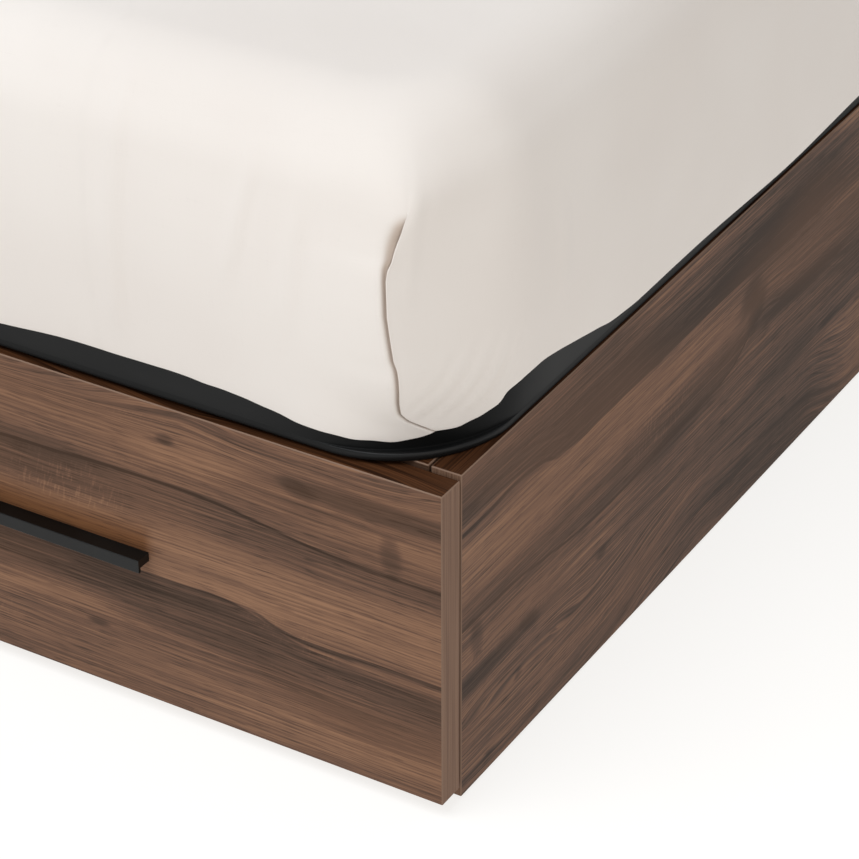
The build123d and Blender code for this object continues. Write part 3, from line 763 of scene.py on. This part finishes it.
def sheet_piece(material):
    """The sheet: a grid whose columns run down over the mattress and whose rows run round it.

    At each corner the columns double back under a fold, as pleat() gives, and above the fold the same columns
    are spread out again up to the top. Swelling, creases and wrinkles move the wall in or out. The hem turns
    under and runs up a little way behind.
    """
    spread = np.linspace(-1, 1, len(STAGE), endpoint=False)
    spread = PLEAT_REACH * np.sign(spread) * abs(spread) ** 1.35
    low_place, low_fold, low_stand, _ = pleat(FOLD_HEIGHT[0])
    low_stand = low_stand + ridge_stand(low_place, low_fold, FOLD_HEIGHT[0])
    gaps = np.diff([*CORNERS, ROUND])
    flat_place, hem, corner_of, local = [], [], [], []
    for corner, (middle, gap, hand) in enumerate(zip(CORNERS, gaps, HANDS)):
        after = (corner + 1) % len(CORNERS)
        side = np.arange(PLEAT_REACH, gap - PLEAT_REACH, SIDE_STEP)
        from_after = (side - gap) * HANDS[after]
        nearer = side < gap / 2
        share = smooth(0.4, 0.6, side / gap)
        flat_place += [middle + hand * spread[::hand], middle + side]
        hem += [hem_line(low_place[::hand], corner) + HEM_LIFT * low_stand[::hand],
                hem_line(hand * side, corner) * (1 - share) + hem_line(from_after, after) * share]
        corner_of += [np.full(len(STAGE), corner), np.where(nearer, corner, after)]
        local += [np.zeros(len(STAGE)), np.where(nearer, hand * side, from_after)]
    folded = [True, False] * len(CORNERS)
    is_pleat = np.concatenate([np.full(len(part), fold) for part, fold in zip(local, folded)])
    flat_place = np.concatenate(flat_place)
    corner_of = np.concatenate(corner_of)
    hem = rounded(np.concatenate(hem), 5)
    columns = len(flat_place)

    wall_top = MATTRESS_TOP - DECK - CROWN
    turn = np.linspace(math.pi / 2, 0, 16)[:-1, None]
    crown_radius = CROWN + SHEET_STAND
    wall_rows = hem + (wall_top - hem) * np.linspace(1, 0, 64)[:, None]
    height = np.concatenate([wall_top + crown_radius * np.sin(turn) + 0 * hem, wall_rows])
    along = np.concatenate([wall_top + crown_radius * turn + 0 * hem, wall_rows])
    inset = np.concatenate([crown_radius * (1 - np.cos(turn)) + 0 * hem, 0 * wall_rows])
    place = np.tile(flat_place, (len(height), 1))
    local = np.tile(np.concatenate(local), (len(height), 1))
    lifted = np.zeros_like(height)
    painted_fold_shade = np.zeros_like(height)
    for corner, (middle, hand) in enumerate(zip(CORNERS, HANDS)):
        here = np.flatnonzero(is_pleat & (corner_of == corner))[::hand]
        fold_place, fold, fold_stand, painted_fold_shade[:, here] = pleat(along[:, here])
        closed = 1 - smooth(0.198, 0.300, along[:, here])
        local[:, here] = spread * (1 - closed) + fold_place * closed
        place[:, here] = middle + hand * local[:, here]
        lifted[:, here] = fold_stand + ridge_stand(local[:, here], fold, along[:, here])

    above_hem = np.maximum(height - hem, 0)
    up_side = np.clip(above_hem / (wall_top + CROWN / 2 - hem), 0, 1)
    swell = SHEET_SWELL * np.sin(np.pi * up_side) ** 0.9
    drift = 1.2 * MM * np.sin(place / 0.13 + 3 * height / wall_top) * np.sin(place / 0.31 + 1.3)
    drift = drift * smooth(0.0, 0.06, above_hem) * (1 - smooth(0.15, wall_top, height))
    stand = SHEET_STAND + swell + drift + lifted - inset
    stand = stand + crease_depth(local, along) + fan_wrinkles(local, height)
    wall = wall_points(place, stand, DECK + height)

    top = top_points(flat_place, CROWN, MATTRESS_TOP + SHEET_STAND, 18)
    roll = 0.7 * MM
    last_place, last_stand, last_height = place[-1], stand[-1], DECK + height[-1]
    under = [wall_points(last_place, last_stand - roll * (1 - math.cos(a)), last_height - roll * math.sin(a))
             for a in np.linspace(0, math.pi, 6)[1:]]
    under.append(wall_points(last_place, last_stand - 2 * roll, last_height + 12 * MM))
    grid = np.concatenate([top, wall, np.stack(under)])
    count = len(grid)
    peak = np.array([[0, 0, MATTRESS_TOP + SHEET_STAND + TOP_DOME]])
    points = np.concatenate([grid.reshape(-1, 3), peak])
    faces = [grid_faces(count, columns), pole_faces(0, count * columns, columns, True)]
    down = np.concatenate([[0], np.cumsum(np.linalg.norm(np.diff(grid, axis=0), axis=2).mean(1))])
    uv = np.stack(np.broadcast_arrays(flat_place, down[:, None]), -1).reshape(-1, 2)
    uv = np.concatenate([uv, [(0, 0)]])
    # Painted shade of the folds for each point: none on the top, and the hem's turn takes the last row's
    bare = (np.zeros(top.shape[:2]), painted_fold_shade, np.tile(painted_fold_shade[-1], (len(under), 1)))
    shade = np.concatenate([np.concatenate(bare).ravel(), [0]])
    piece = add_piece("sheet_cover", points, faces, "base", "sheet_cotton", material, uv, shade)
    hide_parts("sheet")
    return piece


# Half section of a roller: distance along its axle and radius, from the bore round the tread and back
ROLLER_SECTION = np.array([
    (0, 2.58), (0, 5.2), (0.7, 5.6), (0.7, 8.4), (0, 8.8), (0, 10.2), (0.25, 10.75), (0.8, 11.0),
    (6.2, 11.0), (6.75, 10.75), (7, 10.2), (7, 8.8), (6.3, 8.4), (6.3, 5.6), (7, 5.2), (7, 2.58),
]) * MM
# Half section of a screw's head: height above the board and radius, from the rim to the bottom of its socket
SCREW_SECTION = np.array([
    (0, 3.9), (0.7, 3.9), (1.5, 3.3), (1.9, 2.3), (1.9, 1.5), (0.6, 1.3), (0.6, 0.05),
]) * MM
BRACKET_SCREW = 27 * MM
BRACKET_GAUGE = 2.5 * MM
# Brackets are told apart by their side of the middle and by whether they are further from it than this
BRACKET_SPLIT = 300 * MM
PULL_SCREW = 192 * MM
PULL_SCREW_DROP = 3.6 * MM


def lathe(section, middle, axis, steps, closed):
    """Points and faces of a section turned about an axis: rings of the radius at each distance along it."""
    axis = np.array(axis, float)
    side = np.array((axis[1], axis[2], axis[0]))
    other = np.cross(axis, side)
    turn = np.arange(steps) * (2 * math.pi / steps)
    ring = np.cos(turn)[:, None] * side + np.sin(turn)[:, None] * other
    points = middle + section[:, :1, None] * axis + section[:, 1:, None] * ring
    if closed:
        points = np.concatenate([points, points[:1]])
    return points.reshape(-1, 3), grid_faces(len(points), steps)


def joined(parts):
    """Points and faces of several lathed parts in one mesh."""
    points = np.concatenate([part[0] for part in parts])
    starts = np.cumsum([0] + [len(part[0]) for part in parts])
    return points, [part[1] + start for part, start in zip(parts, starts)]


def crisp(piece):
    """Keep the edges of a turned piece sharp."""
    piece.data.set_sharp_from_angle(angle=math.radians(38))


def roller_pieces(material):
    """Nylon rollers with a rounded tread and a sunk web, in place of the plain ones, a pair on each body."""
    for drawer in DRAWERS:
        for end in ("front", "rear"):
            node = f"{drawer}_{end}_rollers"
            low, high = (np.array(corner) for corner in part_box(node))
            middle = (low + high) / 2
            pair = [
                lathe(ROLLER_SECTION, np.array((low[0], *middle[1:])), (1, 0, 0), 40, True),
                lathe(ROLLER_SECTION, np.array((high[0], *middle[1:])), (-1, 0, 0), 40, True),
            ]
            piece = add_piece(f"{node}_turned", *joined(pair), node, "roller_nylon", material)
            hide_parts(node)
            crisp(piece)


def screw_pieces(material):
    """Round screw heads: two in each corner bracket, and three behind each drawer front, for its pull."""
    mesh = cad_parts["corner_brackets"].data
    points = np.zeros(len(mesh.vertices) * 3)
    mesh.vertices.foreach_get("co", points)
    points = points.reshape(-1, 3)
    plan = points[:, :2]
    group = np.sign(plan) * (1 + (np.abs(plan) > BRACKET_SPLIT))
    heads = []
    for key in np.unique(group, axis=0):
        own = points[(group == key).all(1)]
        low, high = own.min(0), own.max(0)
        inward = np.where(own.mean(0) < (low + high) / 2, 1.0, -1.0)
        corner = np.where(inward > 0, low, high)
        height = (low[2] + high[2]) / 2
        along_x = corner + inward * (BRACKET_SCREW, BRACKET_GAUGE, 0)
        along_y = corner + inward * (BRACKET_GAUGE, BRACKET_SCREW, 0)
        heads.append(lathe(SCREW_SECTION, np.array((*along_x[:2], height)), (0, inward[1], 0), 20, False))
        heads.append(lathe(SCREW_SECTION, np.array((*along_y[:2], height)), (inward[0], 0, 0), 20, False))
    crisp(add_piece("bracket_screws", *joined(heads), "base", "zinc", material))
    for drawer in DRAWERS:
        low, high = (np.array(corner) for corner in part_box(f"{drawer}_drawer_front"))
        pull_low, pull_high = (np.array(corner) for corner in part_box(f"{drawer}_drawer_pull"))
        inner = high[1] if drawer.startswith("right") else low[1]
        inward = 1 if drawer.startswith("right") else -1
        middle = (pull_low + pull_high) / 2
        height = pull_high[2] - PULL_SCREW_DROP
        places = [(middle[0] + step, inner, height) for step in (-PULL_SCREW, 0, PULL_SCREW)]
        heads = [lathe(SCREW_SECTION, np.array(place), (0, inward, 0), 20, False) for place in places]
        crisp(add_piece(f"{drawer}_pull_screws", *joined(heads), f"{drawer}_drawer", "zinc", material))


def finish_boards():
    """Materials of the nodes whose shape stays as it is, and the small hard pieces."""
    along_bed = walnut("walnut_along_bed", "X", seed=3.0, shade=0.03, fade=0.0, grain=1.05)
    # The boards across the bed are darker and fade along their length: partly painted shade for the dimmer end
    # panels
    across_bed = walnut("walnut_across_bed", "Y", seed=11.0, shade=-0.115, fade=0.14, grain=1.35)
    inner_along = plain_board("inner_board_along", (0.13, 0.095, 0.072), (0.21, 0.16, 0.125), "X")
    inner_across = plain_board("inner_board_across", (0.13, 0.095, 0.072), (0.21, 0.16, 0.125), "Y")
    hardboard = plain_board("hardboard", (0.15, 0.105, 0.075), (0.20, 0.145, 0.105), "X")
    pull = powder_coat()
    lacquer = speckled("runner_lacquer", (0.55, 0.54, 0.51), (0.62, 0.61, 0.58), 900.0, 0.35, 0.00005)
    nylon = speckled("roller_nylon", (0.62, 0.62, 0.60), (0.72, 0.72, 0.70), 1200.0, 0.4, 0.00004)
    zinc = speckled("zinc_plate", (0.42, 0.43, 0.44), (0.58, 0.58, 0.57), 700.0, 0.3, 0.00004, Metallic=1.0)
    glide = speckled("glide_plastic", (0.03, 0.027, 0.025), (0.05, 0.045, 0.04), 1500.0, 0.5, 0.00005)
    rubber = speckled("bumper_rubber", (0.40, 0.40, 0.38), (0.52, 0.52, 0.50), 1500.0, 0.35, 0.00004)
    looks = {
        "foot_panel": across_bed, "head_panel": across_bed,
        "right_top_rail": along_bed, "left_top_rail": along_bed,
        "foot_deck_panel": along_bed, "middle_deck_panel": along_bed, "head_deck_panel": along_bed,
        "center_spine": inner_along, "right_cross_divider": inner_across, "left_cross_divider": inner_across,
        "deck_cleats": inner_across, "floor_glides": glide, "corner_brackets": zinc, "front_bumpers": rubber,
        "drawer_front": along_bed, "drawer_side_left": inner_across, "drawer_side_right": inner_across,
        "drawer_back": inner_along, "drawer_bottom": hardboard, "drawer_batten": inner_across,
        "drawer_pull": pull, "drawer_rails": lacquer, "cabinet_rails": lacquer,
        "front_rollers": nylon, "rear_rollers": nylon,
    }
    for name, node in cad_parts.items():
        own = next((name[len(drawer) + 1:] for drawer in DRAWERS if name.startswith(drawer)), name)
        if own in looks:
            node.data.materials.clear()
            node.data.materials.append(looks[own])
    roller_pieces(nylon)
    screw_pieces(zinc)


def studio():
    """Pale floor, a large soft light above, a small warm one beside the foot, a surround and the camera."""
    floor_mesh = bpy.data.meshes.new("studio_floor")
    corners = [(x * FLOOR_REACH, y * FLOOR_REACH, 0) for x, y in ((-1, -1), (1, -1), (1, 1), (-1, 1))]
    floor_mesh.from_pydata(corners, [], [(0, 1, 2, 3)])
    floor = bpy.data.objects.new("studio_floor", floor_mesh)
    bpy.context.scene.collection.objects.link(floor)
    pale = Finish("studio_pale", Roughness=0.9, Specular_IOR_Level=0.1, Emission_Strength=0.80)
    pale.set(Base_Color=(0.25, 0.25, 0.25), Emission_Color=(1.0, 0.985, 0.96))
    floor_mesh.materials.append(pale.material)

    world = bpy.data.worlds.new("studio_world")
    world.use_nodes = True
    world.node_tree.nodes["Background"].inputs["Color"].default_value = (0.97, 1.0, 1.03, 1.0)
    world.node_tree.nodes["Background"].inputs["Strength"].default_value = 0.50
    bpy.context.scene.world = world

    def area_light(name, place, aim, size, power, colour):
        light = bpy.data.lights.new(name, "AREA")
        light.size = size
        light.energy = power
        light.color = colour
        holder = bpy.data.objects.new(name, light)
        bpy.context.scene.collection.objects.link(holder)
        back = np.array(place, float) - np.array(aim, float)
        back /= np.linalg.norm(back)
        side = np.cross((0, 0, 1), back)
        side /= np.linalg.norm(side)
        axes = np.stack([side, np.cross(back, side), back], 1)
        holder.matrix_world = Matrix.Translation(place) @ Matrix(axes.tolist()).to_4x4()

    area_light("key_light", *KEY_LIGHT)
    area_light("fill_light", *FILL_LIGHT)

    camera = bpy.data.cameras.new("camera")
    camera.lens = CAMERA_LENS
    camera.sensor_width = CAMERA_SENSOR
    camera.clip_end = 200.0
    holder = bpy.data.objects.new("camera", camera)
    bpy.context.scene.collection.objects.link(holder)
    ahead = np.array([
        -math.sin(CAMERA_YAW) * math.cos(CAMERA_PITCH),
        math.cos(CAMERA_YAW) * math.cos(CAMERA_PITCH),
        -math.sin(CAMERA_PITCH),
    ])
    right = np.array([math.cos(CAMERA_YAW), math.sin(CAMERA_YAW), 0.0])
    up = np.cross(right, ahead)
    side = right * math.cos(CAMERA_ROLL) + up * math.sin(CAMERA_ROLL)
    over = up * math.cos(CAMERA_ROLL) - right * math.sin(CAMERA_ROLL)
    axes = np.stack([side, over, -ahead], 1)
    holder.matrix_world = Matrix.Translation(CAMERA_PLACE) @ Matrix(axes.tolist()).to_4x4()
    bpy.context.scene.camera = holder
    bpy.context.scene.view_settings.view_transform = "Standard"


finish_boards()
mattress_piece(border_fabric())
sheet_piece(cream_cotton())
studio()
